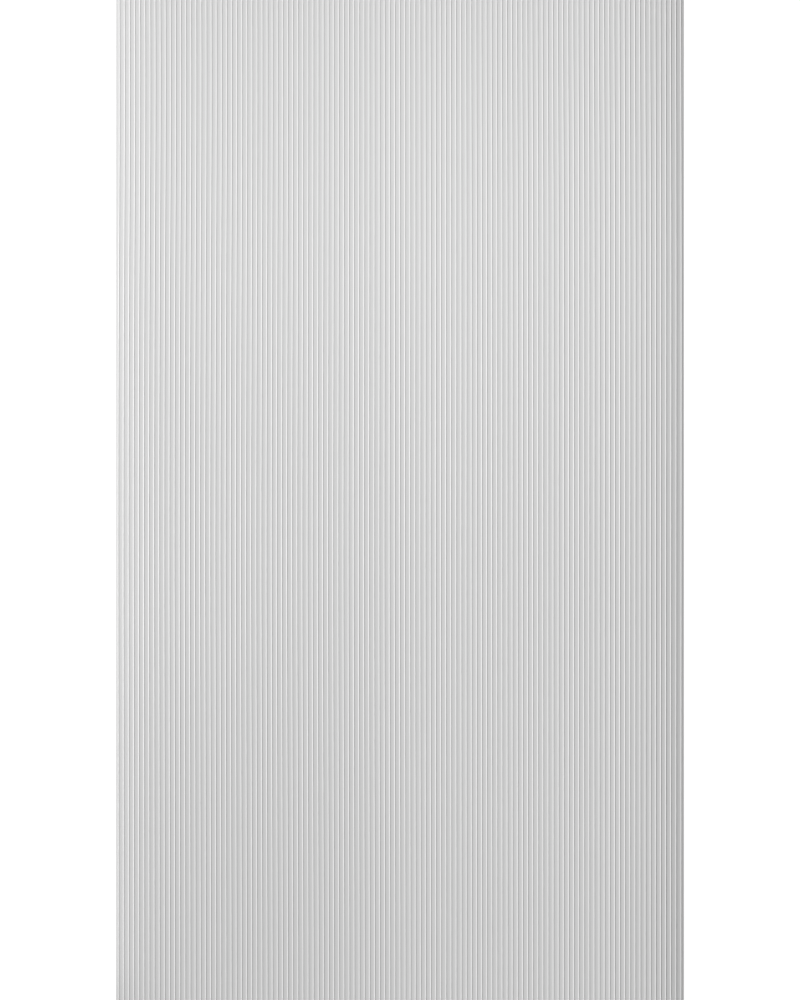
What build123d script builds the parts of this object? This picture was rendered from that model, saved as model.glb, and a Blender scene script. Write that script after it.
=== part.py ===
from build123d import *
import os
from math import cos, radians, sin

# Fluted laminate sheet: one pressed sheet with a flat back and a face of parallel hollow flutes.
# It lies on its back. X runs across the flutes, Y along them, and Z is up from the flat back.
# The origin is the middle of the back.

# Driving dimensions, in millimetres and degrees
SHEET_WIDTH = 1220.0  # across the flutes
SHEET_LENGTH = 2440.0  # along the flutes
SHEET_THICKNESS = 2.0  # from the back to the tops of the ridges
PITCH_COUNT = 111  # 110 whole flutes, with half a flute on each long edge
FLUTE_DEPTH = 1.0  # from the tops of the ridges down to the floors of the flutes
RIDGE_RADIUS = 0.4  # rounding of the narrow ridge between two flutes
FLOOR_SLOPE = 4.5  # slope at which a flute's shallow floor turns up into its flank
FLANK_SLOPE = 40.0  # steepest slope, where the flank runs into the ridge

# Worked out from the driving dimensions
PITCH = SHEET_WIDTH / PITCH_COUNT
FLOOR_HEIGHT = SHEET_THICKNESS - FLUTE_DEPTH
LEFT_EDGE = -SHEET_WIDTH / 2
RIGHT_EDGE = SHEET_WIDTH / 2


def flute_radii():
    """Radii of a flute's floor and flank.

    Floor, flank and ridge are arcs that meet at one slope, so they join with no corner. From the
    middle of a flute to the top of its ridge they cover half a pitch across and the flute's depth up,
    which leaves two equations for the two radii.
    """
    floor_angle = radians(FLOOR_SLOPE)
    flank_angle = radians(FLANK_SLOPE)
    across = PITCH / 2 - RIDGE_RADIUS * sin(flank_angle)
    up = FLUTE_DEPTH - RIDGE_RADIUS * (1 - cos(flank_angle))
    floor_across = sin(floor_angle)
    floor_up = 1 - cos(floor_angle)
    flank_across = sin(flank_angle) - sin(floor_angle)
    flank_up = cos(floor_angle) - cos(flank_angle)
    span = floor_across * flank_up - flank_across * floor_up
    floor_radius = (across * flank_up - flank_across * up) / span
    flank_radius = (floor_across * up - across * floor_up) / span
    return floor_radius, flank_radius


FLOOR_RADIUS, FLANK_RADIUS = flute_radii()
FLOOR_REACH = FLOOR_RADIUS * sin(radians(FLOOR_SLOPE))  # from a flute's middle to the foot of its flank
FLOOR_RISE = FLOOR_RADIUS * (1 - cos(radians(FLOOR_SLOPE)))
RIDGE_REACH = RIDGE_RADIUS * sin(radians(FLANK_SLOPE))  # from a ridge's middle to the top of a flank
RIDGE_DROP = RIDGE_RADIUS * (1 - cos(radians(FLANK_SLOPE)))


def flute_middle(number):
    """Place across the sheet of a flute's middle: flute 0 is the half flute on the left edge."""
    return LEFT_EDGE + number * PITCH


def ridge_between(number):
    """Draws the flank up from a flute, the ridge to its right and the flank down to the next flute."""
    ridge_middle = flute_middle(number) + PITCH / 2
    foot_height = FLOOR_HEIGHT + FLOOR_RISE
    top_height = SHEET_THICKNESS - RIDGE_DROP
    left_foot = (flute_middle(number) + FLOOR_REACH, foot_height)
    left_top = (ridge_middle - RIDGE_REACH, top_height)
    right_top = (ridge_middle + RIDGE_REACH, top_height)
    right_foot = (flute_middle(number + 1) - FLOOR_REACH, foot_height)
    RadiusArc(left_foot, left_top, -FLANK_RADIUS)
    RadiusArc(left_top, right_top, RIDGE_RADIUS)
    RadiusArc(right_top, right_foot, -FLANK_RADIUS)


def flute_floor(number):
    """Draws the shallow floor of a flute, or the half of it that lies on the sheet at a long edge."""
    middle = flute_middle(number)
    left = (middle - FLOOR_REACH, FLOOR_HEIGHT + FLOOR_RISE)
    right = (middle + FLOOR_REACH, FLOOR_HEIGHT + FLOOR_RISE)
    if number == 0:
        left = (LEFT_EDGE, FLOOR_HEIGHT)
    if number == PITCH_COUNT:
        right = (RIGHT_EDGE, FLOOR_HEIGHT)
    RadiusArc(left, right, -FLOOR_RADIUS)


def fluted_sheet():
    """The sheet: its fluted section, carried straight from one short end to the other."""
    with BuildPart() as sheet:
        with BuildSketch(Plane.XZ):
            with BuildLine():
                for number in range(PITCH_COUNT):
                    flute_floor(number)
                    ridge_between(number)
                flute_floor(PITCH_COUNT)
                Polyline(
                    (RIGHT_EDGE, FLOOR_HEIGHT),
                    (RIGHT_EDGE, 0),
                    (LEFT_EDGE, 0),
                    (LEFT_EDGE, FLOOR_HEIGHT),
                )
            make_face()
        extrude(amount=SHEET_LENGTH / 2, both=True)
    return sheet.part


os.makedirs("parts", exist_ok=True)
export_step(fluted_sheet(), "parts/fluted_sheet.step")
print(f"pitch {PITCH:.3f}, floor radius {FLOOR_RADIUS:.2f}, flank radius {FLANK_RADIUS:.2f}")
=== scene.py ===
"""Dresses the fluted laminate sheet: its fine mesh, its finishes, the studio round it and the camera.

The frame is in metres. X runs across the flutes, Y along them, and Z is up from the flat back.
Angles are in radians.
"""

import logging
import math
from dataclasses import dataclass
from enum import IntEnum
from typing import Any, Sequence, Union

import bpy
import numpy as np
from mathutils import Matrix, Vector

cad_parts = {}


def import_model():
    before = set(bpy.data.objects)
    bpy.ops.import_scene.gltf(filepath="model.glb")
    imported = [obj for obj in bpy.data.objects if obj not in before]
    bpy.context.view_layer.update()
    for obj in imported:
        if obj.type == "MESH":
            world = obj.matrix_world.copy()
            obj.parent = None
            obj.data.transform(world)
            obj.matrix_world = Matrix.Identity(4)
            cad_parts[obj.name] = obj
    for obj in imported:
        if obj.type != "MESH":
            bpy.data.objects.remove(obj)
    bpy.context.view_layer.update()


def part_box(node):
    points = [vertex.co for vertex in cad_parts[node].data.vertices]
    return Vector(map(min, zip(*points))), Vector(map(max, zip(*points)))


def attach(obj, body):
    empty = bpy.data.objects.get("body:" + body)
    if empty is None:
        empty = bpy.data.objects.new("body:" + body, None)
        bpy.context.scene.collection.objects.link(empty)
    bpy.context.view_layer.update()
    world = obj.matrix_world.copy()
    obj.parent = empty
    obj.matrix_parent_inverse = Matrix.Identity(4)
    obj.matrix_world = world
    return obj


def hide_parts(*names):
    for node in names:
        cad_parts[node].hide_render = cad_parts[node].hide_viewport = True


log = logging.getLogger("fluted_sheet")

MILLIMETRE = 0.001
SHEET_NODE = "fluted_sheet"
SHEET_BODY = "root"

Link = Union["Value", "bpy.types.NodeSocket"]
SocketValue = Union[Link, float, Sequence[float]]
Place = tuple[float, float, float]
Colour = tuple[float, float, float, float]

WHITE: Colour = (1.0, 1.0, 1.0, 1.0)
BLACK: Colour = (0.0, 0.0, 0.0, 1.0)
NOISE_MIDDLE = 0.5
LAMINATE_IOR = 1.5
STRAIGHT_DOWN: Place = (0.0, 0.0, -1.0)


def plain_grey(level: float) -> Colour:
    """A grey of that linear level that is the same all over."""
    return (level, level, level, 1.0)


class Value:
    """A shader value that Python's operators work on; each operation adds a Math node."""

    def __init__(self, shading: "Shading", socket: bpy.types.NodeSocket) -> None:
        """Keeps the socket and the node tree that it belongs to.

        Args:
            shading: The node tree that new Math nodes go into.
            socket: The output socket that carries the value.
        """
        self.shading = shading
        self.socket = socket

    def __add__(self, other: SocketValue) -> "Value":
        """The sum of two values."""
        return self.shading.maths("ADD", self, other)

    def __sub__(self, other: SocketValue) -> "Value":
        """This value less another."""
        return self.shading.maths("SUBTRACT", self, other)

    def __mul__(self, other: SocketValue) -> "Value":
        """The product of two values."""
        return self.shading.maths("MULTIPLY", self, other)

    def __truediv__(self, other: SocketValue) -> "Value":
        """This value divided by another."""
        return self.shading.maths("DIVIDE", self, other)

    def __pow__(self, other: SocketValue) -> "Value":
        """This value raised to a power."""
        return self.shading.maths("POWER", self, other)

    def __radd__(self, other: SocketValue) -> "Value":
        """A number plus this value."""
        return self.shading.maths("ADD", other, self)

    def __rsub__(self, other: SocketValue) -> "Value":
        """A number less this value."""
        return self.shading.maths("SUBTRACT", other, self)

    def __rmul__(self, other: SocketValue) -> "Value":
        """A number times this value."""
        return self.shading.maths("MULTIPLY", other, self)

    def at_least(self, other: SocketValue) -> "Value":
        """The larger of two values."""
        return self.shading.maths("MAXIMUM", self, other)

    def at_most(self, other: SocketValue) -> "Value":
        """The smaller of two values."""
        return self.shading.maths("MINIMUM", self, other)


@dataclass(frozen=True)
class Grain:
    """Smooth noise: its cells in a metre along X, Y and Z, and the number and strength of finer layers."""

    per_metre: tuple[float, float, float]
    detail: float
    rough: float


class Shading:
    """The node tree of one material or world, with short ways to add nodes to it."""

    def __init__(self, owner: Union[bpy.types.Material, bpy.types.World]) -> None:
        """Empties the owner's node tree.

        Args:
            owner: The material or world whose nodes are made here.
        """
        owner.use_nodes = True
        self.tree = owner.node_tree
        self.tree.nodes.clear()

    def node(
        self, kind: str, settings: dict[str, Any], sockets: dict[Any, SocketValue]
    ) -> bpy.types.Node:
        """Adds a node, sets its settings and then its sockets.

        Args:
            kind: Blender's name of the node's type.
            settings: The node's own settings, such as an operation.
            sockets: Input sockets by name or number, each with a value or a link.

        Returns:
            The new node.
        """
        made = self.tree.nodes.new(kind)
        for name, setting in settings.items():
            setattr(made, name, setting)
        for key, value in sockets.items():
            if isinstance(value, Value):
                value = value.socket
            if isinstance(value, bpy.types.NodeSocket):
                self.tree.links.new(value, made.inputs[key])
            else:
                made.inputs[key].default_value = value
        return made

    def maths(self, operation: str, first: SocketValue, second: SocketValue) -> Value:
        """Adds one Math node.

        Args:
            operation: Blender's name of the operation.
            first: The value of the first socket.
            second: The value of the second socket.

        Returns:
            The result, ready for more arithmetic.
        """
        made = self.node("ShaderNodeMath", {"operation": operation}, {0: first, 1: second})
        return Value(self, made.outputs[0])

    def place(self) -> bpy.types.NodeSocket:
        """The place on the sheet in metres, in the sheet's own frame."""
        return self.node("ShaderNodeTexCoord", {}, {}).outputs["Object"]

    def height(self) -> Value:
        """The height above the flat back, in metres."""
        parts = self.node("ShaderNodeSeparateXYZ", {}, {0: self.place()})
        return Value(self, parts.outputs["Z"])

    def noise(self, grain: Grain) -> Value:
        """Smooth noise about zero, from about -0.5 to 0.5.

        Args:
            grain: The size and the layers of the noise.

        Returns:
            The noise as a value.
        """
        scaled = self.node(
            "ShaderNodeVectorMath",
            {"operation": "MULTIPLY"},
            {0: self.place(), 1: grain.per_metre},
        )
        made = self.node(
            "ShaderNodeTexNoise",
            {"noise_dimensions": "3D"},
            {"Vector": scaled.outputs[0], "Scale": 1.0, "Detail": grain.detail, "Roughness": grain.rough},
        )
        return Value(self, made.outputs[0]) - NOISE_MIDDLE

    def grey(self, level: Value) -> bpy.types.NodeSocket:
        """A grey of that linear level, as a colour; sockets 6 and 7 are the node's two colours."""
        made = self.node("ShaderNodeMix", {"data_type": "RGBA"}, {0: level, 6: BLACK, 7: WHITE})
        return made.outputs[2]

    def relief(self, height: Value, depth: float) -> bpy.types.NodeSocket:
        """A normal that follows fine relief.

        Args:
            height: The relief, where a difference of 1 is the full depth.
            depth: The relief's depth in metres.

        Returns:
            The normal's socket.
        """
        made = self.node("ShaderNodeBump", {}, {"Strength": 1.0, "Distance": depth, "Height": height})
        return made.outputs[0]

    def mixed(self, share: Value, first: bpy.types.Node, second: bpy.types.Node) -> bpy.types.Node:
        """Mixes two shaders.

        Args:
            share: The second shader's share, from 0 to 1.
            first: The shader where the share is 0.
            second: The shader where the share is 1.

        Returns:
            The node that mixes them.
        """
        shaders = {0: share, 1: first.outputs[0], 2: second.outputs[0]}
        return self.node("ShaderNodeMixShader", {}, shaders)

    def surface(self, level: Value, roughness: Value, normal: bpy.types.NodeSocket) -> None:
        """Ends a material in a Principled shader.

        Args:
            level: The linear level of the grey.
            roughness: The roughness.
            normal: The normal of the fine relief.
        """
        shader = self.node(
            "ShaderNodeBsdfPrincipled",
            {},
            {"Base Color": self.grey(level), "Roughness": roughness, "Normal": normal, "IOR": LAMINATE_IOR},
        )
        self.node("ShaderNodeOutputMaterial", {}, {"Surface": shader.outputs[0]})


@dataclass(frozen=True)
class MelamineFace:
    """Light grey satin-matt melamine, smoother on the ridges than in the flutes, with a painted highlight
    on the ridges and painted shade in the flutes' floors.
    """

    grey_level: float = 0.645
    cloud: Grain = Grain((2.6, 1.9, 1.0), 3.0, 0.5)
    cloud_share: float = 0.016
    streak: Grain = Grain((95.0, 0.45, 1.0), 2.0, 0.5)
    streak_share: float = 0.030
    speck: Grain = Grain((420.0, 420.0, 420.0), 2.0, 0.6)
    speck_share: float = 0.020
    suede: Grain = Grain((1100.0, 1100.0, 1100.0), 2.0, 0.55)
    suede_depth: float = 0.02 * MILLIMETRE
    ridge_narrowing: float = 3.0
    # Painted highlight: the ridges are made lighter
    painted_ridge_highlight: float = 0.020
    ridge_polish: float = 0.05
    # Painted shade: the floors of the flutes are made darker
    painted_floor_shade: float = 0.010
    roughness: float = 0.40
    roughness_spread: float = 0.08

    def material(self, floor_height: float, top_height: float) -> bpy.types.Material:
        """Makes the finish.

        Args:
            floor_height: Height of the flutes' floors above the back.
            top_height: Height of the ridges above the back.

        Returns:
            The material.
        """
        made = bpy.data.materials.new("melamine_face")
        shading = Shading(made)
        rise = (shading.height() - floor_height) / (top_height - floor_height)
        ridge = rise.at_least(0.0).at_most(1.0) ** self.ridge_narrowing
        cloud = shading.noise(self.cloud)
        streak = shading.noise(self.streak)
        speck = shading.noise(self.speck)
        suede = shading.noise(self.suede)
        tone = 1.0 + self.cloud_share * cloud + self.streak_share * streak + self.speck_share * speck
        # Painted highlight on the ridges and painted shade in the flutes' floors
        painted_ridge_highlight_and_floor_shade = self.painted_ridge_highlight * ridge - self.painted_floor_shade * (1.0 - ridge)
        level = self.grey_level * (tone + painted_ridge_highlight_and_floor_shade)
        roughness = self.roughness + self.roughness_spread * (cloud + speck) - self.ridge_polish * ridge
        shading.surface(level, roughness, shading.relief(suede, self.suede_depth))
        return made


@dataclass(frozen=True)
class SawnEdge:
    """The cut edge: the same grey, matt, with the fine upright marks of a saw."""

    grey_level: float = 0.60
    mark: Grain = Grain((700.0, 700.0, 60.0), 3.0, 0.6)
    mark_share: float = 0.10
    mark_depth: float = 0.05 * MILLIMETRE
    roughness: float = 0.62

    def material(self) -> bpy.types.Material:
        """Makes the finish.

        Returns:
            The material.
        """
        made = bpy.data.materials.new("sawn_edge")
        shading = Shading(made)
        mark = shading.noise(self.mark)
        level = self.grey_level * (1.0 + self.mark_share * mark)
        roughness = self.roughness + self.mark_share * mark
        shading.surface(level, roughness, shading.relief(mark, self.mark_depth))
        return made


@dataclass(frozen=True)
class SandedBack:
    """The back: the same grey, sanded lengthwise so that glue holds on it."""

    grey_level: float = 0.58
    scratch: Grain = Grain((900.0, 9.0, 1.0), 4.0, 0.65)
    scratch_share: float = 0.09
    scratch_depth: float = 0.04 * MILLIMETRE
    cloud: Grain = Grain((4.0, 2.5, 1.0), 3.0, 0.5)
    cloud_share: float = 0.05
    roughness: float = 0.70

    def material(self) -> bpy.types.Material:
        """Makes the finish.

        Returns:
            The material.
        """
        made = bpy.data.materials.new("sanded_back")
        shading = Shading(made)
        scratch = shading.noise(self.scratch)
        cloud = shading.noise(self.cloud)
        level = self.grey_level * (1.0 + self.scratch_share * scratch + self.cloud_share * cloud)
        roughness = self.roughness + self.scratch_share * scratch
        shading.surface(level, roughness, shading.relief(scratch, self.scratch_depth))
        return made


class Side(IntEnum):
    """The three kinds of surface on the sheet, as the numbers of its material slots."""

    FACE = 0
    EDGE = 1
    BACK = 2


@dataclass(frozen=True)
class Bend:
    """A place where the flutes run slightly to one side, fading out round it."""

    across: float
    along: float
    reach_across: float
    reach_along: float
    shift: float

    def field(self, across: np.ndarray, along: np.ndarray) -> np.ndarray:
        """How far the bend moves the flutes.

        Args:
            across: Places across the sheet.
            along: Places along the sheet.

        Returns:
            One shift for each place along (rows) and across (columns).
        """
        fade_across = np.exp(-(((across - self.across) / self.reach_across) ** 2))
        fade_along = np.exp(-(((along - self.along) / self.reach_along) ** 2))
        return self.shift * fade_along[:, None] * fade_across[None, :]


FAR_LEFT_BEND = Bend(
    across=-0.61, along=0.88, reach_across=0.37, reach_along=0.41, shift=2.8 * MILLIMETRE
)
FAR_RIGHT_BEND = Bend(
    across=0.34, along=1.07, reach_across=0.28, reach_along=0.32, shift=-1.7 * MILLIMETRE
)
MIDDLE_BEND = Bend(
    across=-0.30, along=-0.09, reach_across=0.32, reach_along=0.34, shift=-0.9 * MILLIMETRE
)
NEAR_BEND = Bend(
    across=-0.17, along=-1.07, reach_across=0.28, reach_along=0.41, shift=1.5 * MILLIMETRE
)


@dataclass
class FlutedSheet:
    """The sheet: one pressed piece with a flat back, a face of hollow flutes and four sawn edges."""

    low: Vector
    high: Vector
    pitch_count: int = 111
    flute_depth: float = 1.0 * MILLIMETRE
    ridge_radius: float = 0.4 * MILLIMETRE
    floor_slope: float = math.radians(4.5)
    flank_slope: float = math.radians(40.0)
    # The mesh: steps along each arc of the section, rows along the sheet, and its sharp edges
    floor_steps: int = 2
    flank_steps: int = 4
    half_ridge_steps: int = 3
    row_count: int = 40
    sharp_from: float = math.radians(60.0)
    # The unevenness of the flutes, across the sheet and in depth
    bends: tuple[Bend, ...] = (FAR_LEFT_BEND, FAR_RIGHT_BEND, MIDDLE_BEND, NEAR_BEND)
    wander: float = 0.45 * MILLIMETRE
    depth_spread: float = 0.05
    own_depth_share: float = 0.5
    wave_count: int = 5
    fewest_turns: float = 0.4
    most_turns: float = 2.2
    seed: int = 11

    @property
    def width(self) -> float:
        """Size across the flutes."""
        return self.high.x - self.low.x

    @property
    def length(self) -> float:
        """Size along the flutes."""
        return self.high.y - self.low.y

    @property
    def pitch(self) -> float:
        """Distance from one flute to the next."""
        return self.width / self.pitch_count

    def half_flute(self) -> tuple[np.ndarray, np.ndarray]:
        """The section from the middle of a flute to the top of its ridge.

        Floor, flank and ridge are arcs that meet at one slope. Their spans across and up add up to
        half a pitch and to the flute's depth, which gives the radii of the floor and the flank.

        Returns:
            Places across from the flute's middle, and heights above its floor.
        """
        floor, flank = self.floor_slope, self.flank_slope
        spans = np.array(
            [
                [math.sin(floor), math.sin(flank) - math.sin(floor)],
                [1 - math.cos(floor), math.cos(floor) - math.cos(flank)],
            ]
        )
        across = self.pitch / 2 - self.ridge_radius * math.sin(flank)
        up = self.flute_depth - self.ridge_radius * (1 - math.cos(flank))
        floor_radius, flank_radius = np.linalg.solve(spans, np.array([across, up]))
        slopes = np.concatenate(
            [
                np.linspace(0, floor, self.floor_steps + 1),
                np.linspace(floor, flank, self.flank_steps + 1)[1:],
                np.linspace(flank, 0, self.half_ridge_steps + 1)[1:],
            ]
        )
        radii = np.concatenate(
            [
                np.full(self.floor_steps, floor_radius),
                np.full(self.flank_steps, flank_radius),
                np.full(self.half_ridge_steps, -self.ridge_radius),
            ]
        )
        steps_across = radii * np.diff(np.sin(slopes))
        steps_up = -radii * np.diff(np.cos(slopes))
        return np.concatenate([[0], np.cumsum(steps_across)]), np.concatenate([[0], np.cumsum(steps_up)])

    def whole_section(self) -> tuple[np.ndarray, np.ndarray]:
        """The face's section from edge to edge.

        Returns:
            Places across the sheet, and heights above the flutes' floors.
        """
        half_across, half_up = self.half_flute()
        one_across = np.concatenate([half_across[:-1], self.pitch - half_across[:0:-1]])
        one_up = np.concatenate([half_up[:-1], half_up[:0:-1]])
        starts = self.low.x + self.pitch * np.arange(self.pitch_count)
        across = (starts[:, None] + one_across[None, :]).ravel()
        up = np.tile(one_up, self.pitch_count)
        return np.append(across, self.high.x), np.append(up, 0.0)

    def slow_waves(
        self, across: np.ndarray, along: np.ndarray, draw: np.random.Generator
    ) -> np.ndarray:
        """A smooth field over the sheet, from -1 to 1, as pressing leaves it.

        Args:
            across: Places across the sheet.
            along: Places along the sheet.
            draw: The source of random numbers.

        Returns:
            One value for each place along (rows) and across (columns).
        """
        field = np.zeros((len(along), len(across)))
        for _ in range(self.wave_count):
            turns_across, turns_along = draw.uniform(self.fewest_turns, self.most_turns, 2)
            start = draw.uniform(0, 2 * math.pi)
            angle_across = 2 * math.pi * turns_across * across / self.width
            angle_along = 2 * math.pi * turns_along * along / self.length
            field += np.sin(angle_along[:, None] + angle_across[None, :] + start)
        return field / self.wave_count

    def sideways(
        self, across: np.ndarray, along: np.ndarray, draw: np.random.Generator
    ) -> np.ndarray:
        """How far the flutes run out of straight; the long edges themselves stay straight.

        Args:
            across: Places across the sheet.
            along: Places along the sheet.
            draw: The source of random numbers.

        Returns:
            One shift for each place along (rows) and across (columns).
        """
        shift = self.wander * self.slow_waves(across, along, draw)
        for bend in self.bends:
            shift += bend.field(across, along)
        from_edge = np.minimum(across - self.low.x, self.high.x - across)
        freedom = np.clip(from_edge / (self.pitch / 2), 0, 1)
        return shift * freedom[None, :]

    def deepening(
        self, across: np.ndarray, along: np.ndarray, draw: np.random.Generator
    ) -> np.ndarray:
        """How deep the flutes are, as a multiple of the flute depth.

        Args:
            across: Places across the sheet.
            along: Places along the sheet.
            draw: The source of random numbers.

        Returns:
            One multiple for each place along (rows) and across (columns).
        """
        flute_number = np.rint((across - self.low.x) / self.pitch).astype(int)
        each_flute = draw.uniform(-1, 1, self.pitch_count + 1)[flute_number]
        own = self.own_depth_share * each_flute[None, :]
        shared = (1 - self.own_depth_share) * self.slow_waves(across, along, draw)
        return 1 + self.depth_spread * (own + shared)

    def face_points(self) -> np.ndarray:
        """The points of the fluted face.

        Returns:
            Rows along the sheet, columns across it, and X, Y and Z of each point.
        """
        draw = np.random.default_rng(self.seed)
        across, up = self.whole_section()
        along = np.linspace(self.low.y, self.high.y, self.row_count + 1)
        points = np.empty((len(along), len(across), 3))
        points[..., 0] = across[None, :] + self.sideways(across, along, draw)
        points[..., 1] = along[:, None]
        drop = (self.flute_depth - up)[None, :] * self.deepening(across, along, draw)
        points[..., 2] = self.high.z - drop
        return points

    def mesh(self) -> bpy.types.Mesh:
        """Builds the closed mesh of the sheet.

        The face is a fine grid. The back is a coarser grid with one column for each flute, and the
        edges join the two.

        Returns:
            The mesh, with its surfaces marked by material number.
        """
        face = self.face_points()
        per_flute = (face.shape[1] - 1) // self.pitch_count
        back = face[:, ::per_flute].copy()
        back[..., 2] = self.low.z
        points = np.concatenate([face.reshape(-1, 3), back.reshape(-1, 3)])
        point_ids = np.arange(len(points))
        face_count = face.shape[0] * face.shape[1]
        face_ids = point_ids[:face_count].reshape(face.shape[:2])
        back_ids = point_ids[face_count:].reshape(back.shape[:2])
        polygons, sides = self.polygons(face_ids, back_ids, per_flute)
        made = bpy.data.meshes.new(SHEET_NODE + "_mesh")
        made.from_pydata(points.tolist(), [], polygons)
        made.polygons.foreach_set("material_index", np.array(sides, dtype=np.int32))
        made.polygons.foreach_set("use_smooth", np.array(sides) == Side.FACE)
        made.update()
        made.set_sharp_from_angle(angle=self.sharp_from)
        return made

    def polygons(
        self, face: np.ndarray, back: np.ndarray, per_flute: int
    ) -> tuple[list[list[int]], list[Side]]:
        """Joins the points into polygons.

        Args:
            face: Point numbers of the fluted face, rows by columns.
            back: Point numbers of the back, rows by columns.
            per_flute: Columns of the face for each column of the back.

        Returns:
            Each polygon's point numbers, and the side that it is on.
        """
        top = np.stack([face[:-1, :-1], face[:-1, 1:], face[1:, 1:], face[1:, :-1]], -1).reshape(-1, 4)
        under = np.stack([back[:-1, :-1], back[1:, :-1], back[1:, 1:], back[:-1, 1:]], -1).reshape(-1, 4)
        left = np.stack([face[:-1, 0], face[1:, 0], back[1:, 0], back[:-1, 0]], -1)
        right = np.stack([face[:-1, -1], back[:-1, -1], back[1:, -1], face[1:, -1]], -1)
        polygons = top.tolist() + under.tolist() + left.tolist() + right.tolist()
        sides = [Side.FACE] * len(top) + [Side.BACK] * len(under)
        sides += [Side.EDGE] * (len(left) + len(right))
        for number in range(self.pitch_count):
            span = slice(number * per_flute, (number + 1) * per_flute + 1)
            under_flute = slice(number, number + 2)
            near = face[0, span][::-1].tolist() + back[0, under_flute].tolist()
            far = face[-1, span].tolist() + back[-1, under_flute][::-1].tolist()
            polygons += [near, far]
            sides += [Side.EDGE, Side.EDGE]
        return polygons, sides

    def build(self) -> bpy.types.Object:
        """Makes the piece, dresses it and sets it in the place of the plain solid.

        Returns:
            The piece.
        """
        piece = bpy.data.objects.new("laminate_sheet", self.mesh())
        bpy.context.scene.collection.objects.link(piece)
        self.dress(piece)
        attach(piece, SHEET_BODY)
        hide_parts(SHEET_NODE)
        return piece

    def dress(self, piece: bpy.types.Object) -> None:
        """Gives each side of the sheet its finish.

        Args:
            piece: The sheet's piece, whose polygons are marked by side.
        """
        finishes = {
            Side.FACE: MelamineFace().material(self.high.z - self.flute_depth, self.high.z),
            Side.EDGE: SawnEdge().material(),
            Side.BACK: SandedBack().material(),
        }
        for side in Side:
            piece.data.materials.append(finishes[side])


@dataclass(frozen=True)
class Lamp:
    """A rectangular soft lamp that lights the sheet and isn't seen itself, in gloss either."""

    name: str
    place: Place
    size: tuple[float, float]
    power: float
    aim: Place = STRAIGHT_DOWN

    def build(self) -> bpy.types.Object:
        """Makes the lamp and turns it to its aim.

        Returns:
            The lamp.
        """
        data = bpy.data.lights.new(self.name, "AREA")
        data.shape = "RECTANGLE"
        data.size, data.size_y = self.size
        data.energy = self.power
        made = bpy.data.objects.new(self.name, data)
        made.location = self.place
        made.rotation_euler = Vector(self.aim).to_track_quat("-Z", "Y").to_euler()
        made.visible_camera = False
        made.visible_glossy = False
        bpy.context.scene.collection.objects.link(made)
        return made


# Brightens the far half of the sheet
TOP_PANEL = Lamp(name="top_panel", place=(-0.1, 0.75, 1.6), size=(2.8, 0.5), power=9.0)
# Lifts the near right corner a little
LOW_PANEL = Lamp(name="low_panel", place=(0.42, -0.85, 0.7), size=(0.4, 0.8), power=0.30)
# Lifts the left edge a little, near its middle
SIDE_PANEL = Lamp(name="side_panel", place=(-0.54, -0.2, 0.35), size=(0.2, 0.2), power=0.042)


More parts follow.
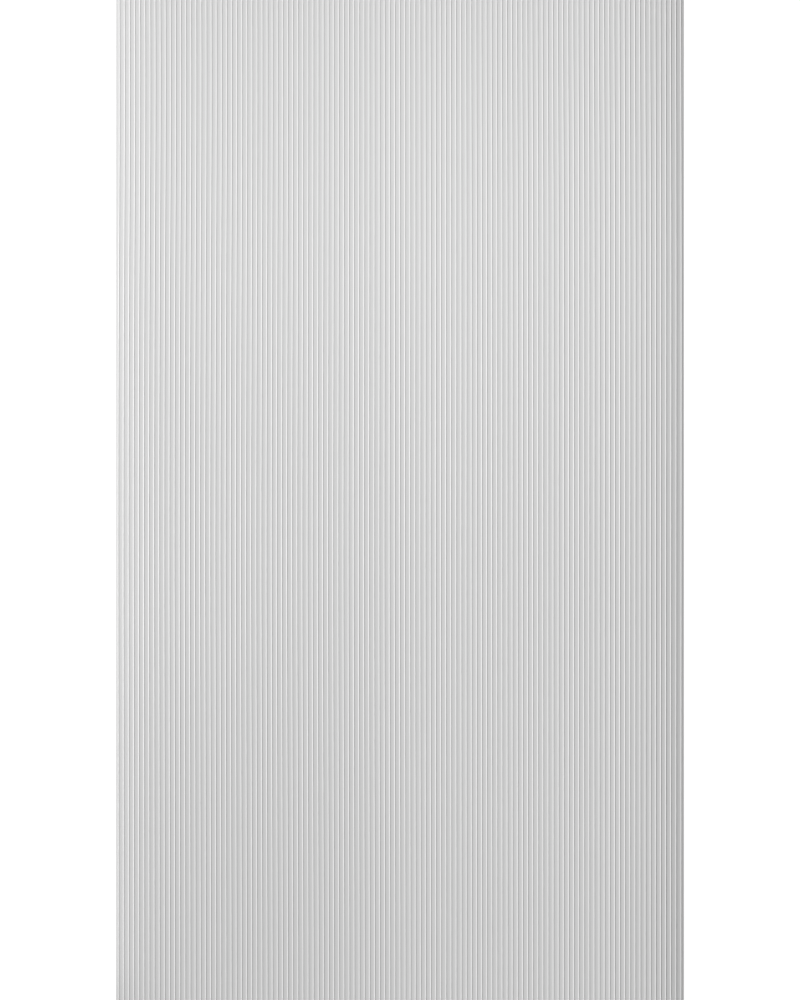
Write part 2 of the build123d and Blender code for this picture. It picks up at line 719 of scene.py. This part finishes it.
@dataclass
class Studio:
    """A pale floor, a white surround, a key light, soft lamps and a dark flag beside the right edge."""

    floor_half: float = 30.0
    floor_grey: float = 0.80
    floor_seen_grey: float = 0.30
    floor_glow: float = 0.93
    flag_gap: float = 0.008
    flag_height: float = 0.10
    flag_length: float = 3.2
    flag_grey: float = 0.02
    fill_level: float = 0.445
    backdrop_level: float = 1.0
    key_elevation: float = math.radians(28.0)
    key_level: float = 0.335
    key_angle: float = math.radians(5.0)
    panels: tuple[Lamp, ...] = (TOP_PANEL, LOW_PANEL, SIDE_PANEL)
    strip_gap: float = 0.03
    strip_height: float = 0.06
    strip_middle: float = 0.27
    strip_size: tuple[float, float] = (2.6, 0.02)
    strip_power: float = 0.156

    def build(self, sheet: FlutedSheet) -> list[bpy.types.Object]:
        """Makes the world, the floor, the flag and the lamps.

        Args:
            sheet: The sheet that they light.

        Returns:
            The objects of the studio.
        """
        self.world()
        made = [self.floor(), self.flag(sheet), self.key()]
        made += [lamp.build() for lamp in (*self.panels, self.edge_strip(sheet))]
        return made

    def seen(self, shading: Shading) -> Value:
        """A mask that is 1 for what the camera sees, directly, in gloss or through glass."""
        path = shading.node("ShaderNodeLightPath", {}, {})
        straight = Value(shading, path.outputs["Is Camera Ray"])
        gloss = Value(shading, path.outputs["Is Glossy Ray"])
        through = Value(shading, path.outputs["Is Transmission Ray"])
        return straight.at_least(gloss).at_least(through)

    def world(self) -> None:
        """Makes the surround: white where it is seen, and a soft fill elsewhere."""
        world = bpy.data.worlds.new("surround")
        bpy.context.scene.world = world
        shading = Shading(world)
        fill = shading.node(
            "ShaderNodeBackground", {}, {"Color": WHITE, "Strength": self.fill_level}
        )
        backdrop = shading.node(
            "ShaderNodeBackground", {}, {"Color": WHITE, "Strength": self.backdrop_level}
        )
        both = shading.mixed(self.seen(shading), fill, backdrop)
        shading.node("ShaderNodeOutputWorld", {}, {"Surface": both.outputs[0]})

    def floor(self) -> bpy.types.Object:
        """Makes the floor, which is white where it is seen and keeps the sheet's shadow.

        Returns:
            The floor.
        """
        reach = self.floor_half
        corners = [(-reach, -reach, 0), (reach, -reach, 0), (reach, reach, 0), (-reach, reach, 0)]
        return self.board("floor", corners, self.pale_floor())

    def flag(self, sheet: FlutedSheet) -> bpy.types.Object:
        """Makes the dark flag that stands beside the right edge and keeps light off it.

        Args:
            sheet: The sheet that it stands beside.

        Returns:
            The flag, which isn't seen itself.
        """
        x = sheet.high.x + self.flag_gap
        reach = self.flag_length / 2
        top = self.flag_height
        corners = [(x, -reach, 0), (x, reach, 0), (x, reach, top), (x, -reach, top)]
        made = self.board("flag", corners, self.dark_cloth())
        made.visible_camera = False
        made.visible_glossy = False
        return made

    def board(
        self, name: str, corners: list[Place], finish: bpy.types.Material
    ) -> bpy.types.Object:
        """Makes a flat piece of the studio.

        Args:
            name: The piece's name.
            corners: Its four corners, in order.
            finish: Its material.

        Returns:
            The piece.
        """
        data = bpy.data.meshes.new(name + "_mesh")
        data.from_pydata(corners, [], [[0, 1, 2, 3]])
        data.materials.append(finish)
        made = bpy.data.objects.new(name, data)
        bpy.context.scene.collection.objects.link(made)
        return made

    def dark_cloth(self) -> bpy.types.Material:
        """Makes the flag's finish, a dark matt cloth.

        Returns:
            The material.
        """
        made = bpy.data.materials.new("dark_cloth")
        shading = Shading(made)
        matt = shading.node("ShaderNodeBsdfDiffuse", {}, {"Color": plain_grey(self.flag_grey)})
        shading.node("ShaderNodeOutputMaterial", {}, {"Surface": matt.outputs[0]})
        return made

    def pale_floor(self) -> bpy.types.Material:
        """Makes the floor's finish: matt and pale, with a glow of its own where it is seen.

        Returns:
            The material.
        """
        made = bpy.data.materials.new("pale_floor")
        shading = Shading(made)
        unseen = shading.node("ShaderNodeBsdfDiffuse", {}, {"Color": plain_grey(self.floor_grey)})
        shaded = shading.node("ShaderNodeBsdfDiffuse", {}, {"Color": plain_grey(self.floor_seen_grey)})
        glow = shading.node("ShaderNodeEmission", {}, {"Color": WHITE, "Strength": self.floor_glow})
        lit = shading.node("ShaderNodeAddShader", {}, {0: shaded.outputs[0], 1: glow.outputs[0]})
        both = shading.mixed(self.seen(shading), unseen, lit)
        shading.node("ShaderNodeOutputMaterial", {}, {"Surface": both.outputs[0]})
        return made

    def key(self) -> bpy.types.Object:
        """Makes the key light, which comes from the left and brings out the flutes.

        Returns:
            The light.
        """
        data = bpy.data.lights.new("key", "SUN")
        data.energy = math.pi * self.key_level / math.sin(self.key_elevation)
        data.angle = self.key_angle
        made = bpy.data.objects.new("key", data)
        beam = Vector((math.cos(self.key_elevation), 0.0, -math.sin(self.key_elevation)))
        made.rotation_euler = beam.to_track_quat("-Z", "Y").to_euler()
        bpy.context.scene.collection.objects.link(made)
        return made

    def edge_strip(self, sheet: FlutedSheet) -> Lamp:
        """The narrow strip along the left edge, which brightens the first few flutes.

        Args:
            sheet: The sheet that it lights.

        Returns:
            The lamp, not yet made.
        """
        return Lamp(
            name="edge_strip",
            place=(sheet.low.x - self.strip_gap, self.strip_middle, self.strip_height),
            size=self.strip_size,
            power=self.strip_power,
            aim=(2 * self.strip_gap, 0.0, -self.strip_height),
        )


@dataclass(frozen=True)
class SheetCamera:
    """A camera straight above the sheet, with the sheet's length upright in the picture.

    The picture's sizes are in pixels, and the lens and the sensor in millimetres.
    """

    picture_height: float = 1000.0
    sheet_width_in_picture: float = 568.0
    lens: float = 100.0
    sensor: float = 36.0

    def build(self, sheet: FlutedSheet) -> bpy.types.Object:
        """Places the camera so that the sheet is as wide in the picture as in the photograph.

        Args:
            sheet: The sheet that is looked at.

        Returns:
            The camera.
        """
        tall = sheet.width * self.picture_height / self.sheet_width_in_picture
        data = bpy.data.cameras.new("camera")
        data.lens = self.lens
        data.sensor_width = self.sensor
        middle = (sheet.low + sheet.high) / 2
        made = bpy.data.objects.new("camera", data)
        made.location = (middle.x, middle.y, sheet.high.z + tall * self.lens / self.sensor)
        bpy.context.scene.collection.objects.link(made)
        bpy.context.scene.camera = made
        return made


def main() -> None:
    """Builds the sheet, the studio and the camera, in that order."""
    logging.basicConfig(level=logging.INFO, format="%(name)s: %(message)s")
    bpy.context.scene.view_settings.view_transform = "Standard"
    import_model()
    sheet = FlutedSheet(*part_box(SHEET_NODE))
    piece = sheet.build()
    log.info("%s: %d flute pitches of %.2f mm", piece.name, sheet.pitch_count, sheet.pitch / MILLIMETRE)
    for made in Studio().build(sheet):
        log.info("studio: %s", made.name)
    camera = SheetCamera().build(sheet)
    log.info("%s at %.2f m above the sheet", camera.name, camera.location.z)


if __name__ == "__main__":
    main()
